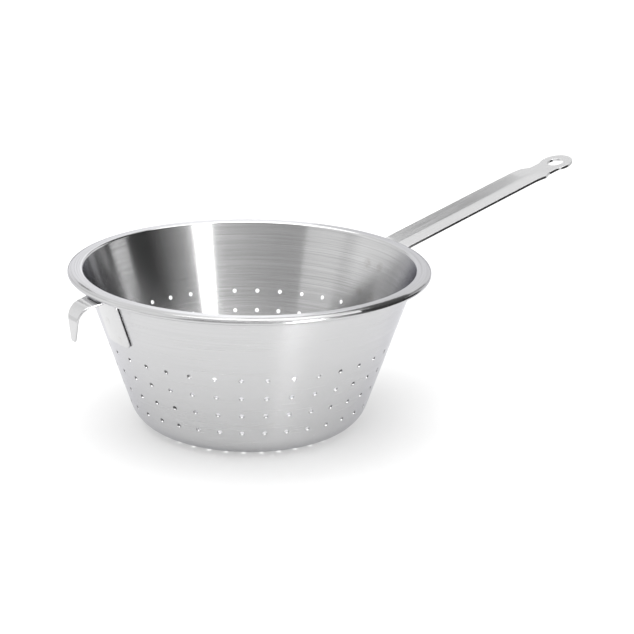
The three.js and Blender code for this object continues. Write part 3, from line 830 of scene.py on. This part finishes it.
toward_camera = Vector((
    cos(VIEW_ANGLE) * cos(VIEW_HEIGHT),
    sin(VIEW_ANGLE) * cos(VIEW_HEIGHT),
    sin(VIEW_HEIGHT),
))
rim_middle = Vector((0, 0, bowl_height))
looking = -toward_camera
to_right = looking.cross(Vector((0, 0, 1))).normalized()
to_top = to_right.cross(looking)
level_right = cos(VIEW_YAW) * to_right - sin(VIEW_YAW) * looking
looking = sin(VIEW_YAW) * to_right + cos(VIEW_YAW) * looking
level_top = cos(VIEW_PITCH) * to_top - sin(VIEW_PITCH) * looking
looking = sin(VIEW_PITCH) * to_top + cos(VIEW_PITCH) * looking
right = cos(VIEW_ROLL) * level_right + sin(VIEW_ROLL) * level_top
top = cos(VIEW_ROLL) * level_top - sin(VIEW_ROLL) * level_right
camera_data = bpy.data.cameras.new("photo_camera")
camera_data.lens = LENS
camera_data.sensor_width = SENSOR
camera = bpy.data.objects.new("photo_camera", camera_data)
bpy.context.collection.objects.link(camera)
camera_turn = Matrix((right, top, -looking)).transposed().to_4x4()
camera.matrix_world = Matrix.Translation(rim_middle + VIEW_DISTANCE * toward_camera) @ camera_turn
bpy.context.scene.camera = camera

# Studio: a white table and a white room that light the steel evenly from all sides.
# Grey and white cards stand round the table, and the steel alone shows them, as panels of light and dark.
FLOOR_HALF = 6
FLOOR_WHITE = (0.52, 0.52, 0.52, 1)
FLOOR_GLOW = 0.385
CARD_DISTANCE = 2
CARD_STEP = 2                      # degrees between the folds of a card
BEHIND_DISTANCE = 1.9
TABLE_DISTANCE = 0.42
PANEL_DISTANCE = 0.38
GREY_DISTANCE = 1.1
RIM_SHADE_HEIGHT = 0.122
RIM_SHADE_REACH = (0.1125, 0.129)
RIM_SHADE_LEVEL = 0.75
RIM_SHADE_LEFT = 0.45              # what the rim's card gains in light to its left
RIM_SHADE_RIGHT = 0.7              # and to its right
CEILING_HEIGHT = 3
CEILING_RADIUS = 2.3
CEILING_SHADE = 3.2
CEILING_SIDES = 48
SOFTBOX_STRENGTH = 0.7 * pi
SOFTBOX_SPREAD = radians(60)
SOFTBOX_TILT = radians(6)

floor_mesh = bpy.data.meshes.new("table_top")
floor_corners = [(FLOOR_HALF * x, FLOOR_HALF * y) for x, y in ((-1, -1), (1, -1), (1, 1), (-1, 1))]
floor_mesh.from_pydata([(x, y, 0) for x, y in floor_corners], [], [(0, 1, 2, 3)])
floor = bpy.data.objects.new("table_top", floor_mesh)
bpy.context.collection.objects.link(floor)
floor_material = bpy.data.materials.new("white_table")
floor_material.use_nodes = True
floor_tree = floor_material.node_tree
floor_tree.nodes.remove(floor_tree.nodes["Principled BSDF"])
floor_paint = floor_tree.nodes.new("ShaderNodeBsdfDiffuse")
floor_paint.inputs["Color"].default_value = FLOOR_WHITE
floor_path = floor_tree.nodes.new("ShaderNodeLightPath")
seen = floor_path.outputs["Is Camera Ray"]
for ray in ("Is Glossy Ray", "Is Transmission Ray"):
    either = floor_tree.nodes.new("ShaderNodeMath")
    floor_tree.links.new(seen, either.inputs[0])
    floor_tree.links.new(floor_path.outputs[ray], either.inputs[1])
    seen = either.outputs[0]
glow_level = floor_tree.nodes.new("ShaderNodeMath")
glow_level.operation = "MULTIPLY"
glow_level.inputs[1].default_value = FLOOR_GLOW
floor_tree.links.new(seen, glow_level.inputs[0])
floor_glow = floor_tree.nodes.new("ShaderNodeEmission")
floor_tree.links.new(glow_level.outputs[0], floor_glow.inputs["Strength"])
floor_sum = floor_tree.nodes.new("ShaderNodeAddShader")
floor_tree.links.new(floor_paint.outputs[0], floor_sum.inputs[0])
floor_tree.links.new(floor_glow.outputs[0], floor_sum.inputs[1])
floor_tree.links.new(floor_sum.outputs[0], floor_tree.nodes["Material Output"].inputs[0])
floor_mesh.materials.append(floor_material)

card_material = bpy.data.materials.new("studio_card")
card_material.use_nodes = True
card_material.cycles.emission_sampling = "NONE"
card_tree = card_material.node_tree
card_tree.nodes.remove(card_tree.nodes["Principled BSDF"])
card_glow = card_tree.nodes.new("ShaderNodeEmission")
card_shade = card_tree.nodes.new("ShaderNodeAttribute")
card_shade.attribute_name = "shade"
card_tree.links.new(card_shade.outputs["Fac"], card_glow.inputs["Strength"])
card_tree.links.new(card_glow.outputs[0], card_tree.nodes["Material Output"].inputs[0])


# A card that only reflections show, with a shade at each of its corners.
def hang_card(name, points, faces, shades):
    mesh = bpy.data.meshes.new(name)
    mesh.from_pydata(points, [], faces)
    mesh.attributes.new("shade", "FLOAT", "POINT").data.foreach_set("value", shades)
    mesh.materials.append(card_material)
    card = bpy.data.objects.new(name, mesh)
    bpy.context.collection.objects.link(card)
    card.visible_camera = False
    card.visible_diffuse = False
    card.visible_shadow = False


# A bent card on edge round the table, between two angles above it.
# Its stops are turns from the camera to the right, each with a shade.
def studio_card(name, stops, low, high, distance=CARD_DISTANCE):
    columns = []
    for (start, shade), (end, next_shade) in zip(stops, stops[1:]):
        count = max(1, ceil((end - start) / CARD_STEP))
        columns += [(start + (end - start) * i / count, shade + (next_shade - shade) * i / count)
                    for i in range(count)]
    columns.append(stops[-1])
    points = []
    shades = []
    for azimuth, shade in columns:
        angle = VIEW_ANGLE + radians(azimuth)
        for lift in (low, high):
            points.append((distance * cos(angle), distance * sin(angle), distance * tan(radians(lift))))
            shades.append(shade)
    faces = [(2 * i, 2 * i + 2, 2 * i + 3, 2 * i + 1) for i in range(len(columns) - 1)]
    hang_card(name, points, faces, shades)


left_stops = [
    (-145, 1), (-110, 1.15), (-92, 1.2), (-82, 0.95), (-77, 0.9), (-74, 1.05), (-60, 1.05), (-43.5, 0.95),
]
studio_card("left_card", left_stops, 0, 52)
front_stops = [(-43.5, 0.55), (-20, 0.58), (0, 0.67), (18, 0.82), (28, 1), (31, 1.1)]
studio_card("front_card", front_stops, 0, 40)
studio_card("front_dark", [(-43.5, 0.15), (31, 0.15)], 40, 53)
studio_card("light_strip", [(31, 10), (43, 10)], 0, 28)
studio_card("strip_top", [(31, 1), (43, 1)], 28, 53)
right_stops = [(43, 1), (46, 0.9), (55, 0.5), (65, 0.3), (75, 0.13), (83, 0.05), (119, 0.05)]
studio_card("right_card", right_stops, 0, 70)
studio_card("side_panel", [(112, 0.8), (131, 0.8)], 6, 40, PANEL_DISTANCE)
studio_card("side_low", [(119, 0.05), (140, 0.3), (150, 1), (169, 1.1)], 0, 22)
studio_card("side_dark", [(119, 0.1), (150, 0.1)], 22, 70)
studio_card("side_middle", [(150, 0.13), (169, 0.13)], 22, 46)
studio_card("side_top", [(150, 1.2), (160, 1.3), (169, 1.7)], 46, 70)
back_stops = [(169, 1.15), (174, 1.35), (179, 1.7), (183, 1.7), (187, 1.3), (200, 1.2), (215, 1.05)]
studio_card("back_panel", back_stops, 0, 30)
studio_card("back_top", [(169, 1.6), *back_stops[2:]], 30, 70)
studio_card("handle_grey", [(167.5, 0.45), (181.5, 0.45)], 40, 48, GREY_DISTANCE)
studio_card("handle_light", [(138, 1.08), (172, 1.08)], 20, 40, TABLE_DISTANCE)
studio_card("hook_line", [(199.5, 0.02), (204.5, 0.02)], 26, 31, BEHIND_DISTANCE)
studio_card("back_low", [(166, 0.5), (205, 0.5)], 0, 7.5, BEHIND_DISTANCE)
studio_card("low_left", [(-150, 1), (-60, 1)], 0, 12, TABLE_DISTANCE)
studio_card("low_front", [(-60, 0.6), (20, 0.6)], 0, 12, TABLE_DISTANCE)
studio_card("low_strip", [(20, 18), (29, 18)], 0, 12, TABLE_DISTANCE)
studio_card("low_right", [(29, 0.7), (50, 0.5), (62, 0.1)], 0, 12, TABLE_DISTANCE)
studio_card("low_side", [(62, 0.1), (75, 0.06), (115, 0.06)], 0, 17, TABLE_DISTANCE)

# A narrow grey card hangs close over the front of the rim and keeps the ceiling out of its bead.
shade_points = []
shade_levels = []
for azimuth in range(-56, 42, CARD_STEP):
    angle = VIEW_ANGLE + radians(azimuth)
    to_left = smooth_share(azimuth, -8, -40)
    to_far_right = smooth_share(azimuth, 2, 14)
    for distance in RIM_SHADE_REACH:
        shade_points.append((distance * cos(angle), distance * sin(angle), RIM_SHADE_HEIGHT))
        shade_levels.append(RIM_SHADE_LEVEL + RIM_SHADE_LEFT * to_left + RIM_SHADE_RIGHT * to_far_right)
shade_faces = [(i, i + 1, i + 3, i + 2) for i in range(0, len(shade_points) - 2, 2)]
hang_card("rim_shade", shade_points, shade_faces, shade_levels)

# A round ceiling of even light over the table.
ceiling_turns = [2 * pi * i / CEILING_SIDES for i in range(CEILING_SIDES)]
ceiling_points = [(CEILING_RADIUS * cos(turn), CEILING_RADIUS * sin(turn), CEILING_HEIGHT)
                  for turn in ceiling_turns]
hang_card("ceiling_light", ceiling_points, [range(CEILING_SIDES)], [CEILING_SHADE] * CEILING_SIDES)

sun = bpy.data.lights.new("overhead_softbox", "SUN")
sun.energy = SOFTBOX_STRENGTH
sun.angle = SOFTBOX_SPREAD
lamp = bpy.data.objects.new("overhead_softbox", sun)
bpy.context.collection.objects.link(lamp)
lamp.visible_glossy = False
softbox_way = sin(SOFTBOX_TILT) * to_right - Vector((0, 0, cos(SOFTBOX_TILT)))
lamp.rotation_euler = softbox_way.to_track_quat("-Z", "Y").to_euler()

world = bpy.data.worlds.new("white_room")
world.use_nodes = True
world.node_tree.nodes["Background"].inputs["Color"].default_value = (1, 1, 1, 1)
world.cycles.sampling_method = "NONE"
bpy.context.scene.world = world
bpy.context.scene.view_settings.view_transform = "Standard"
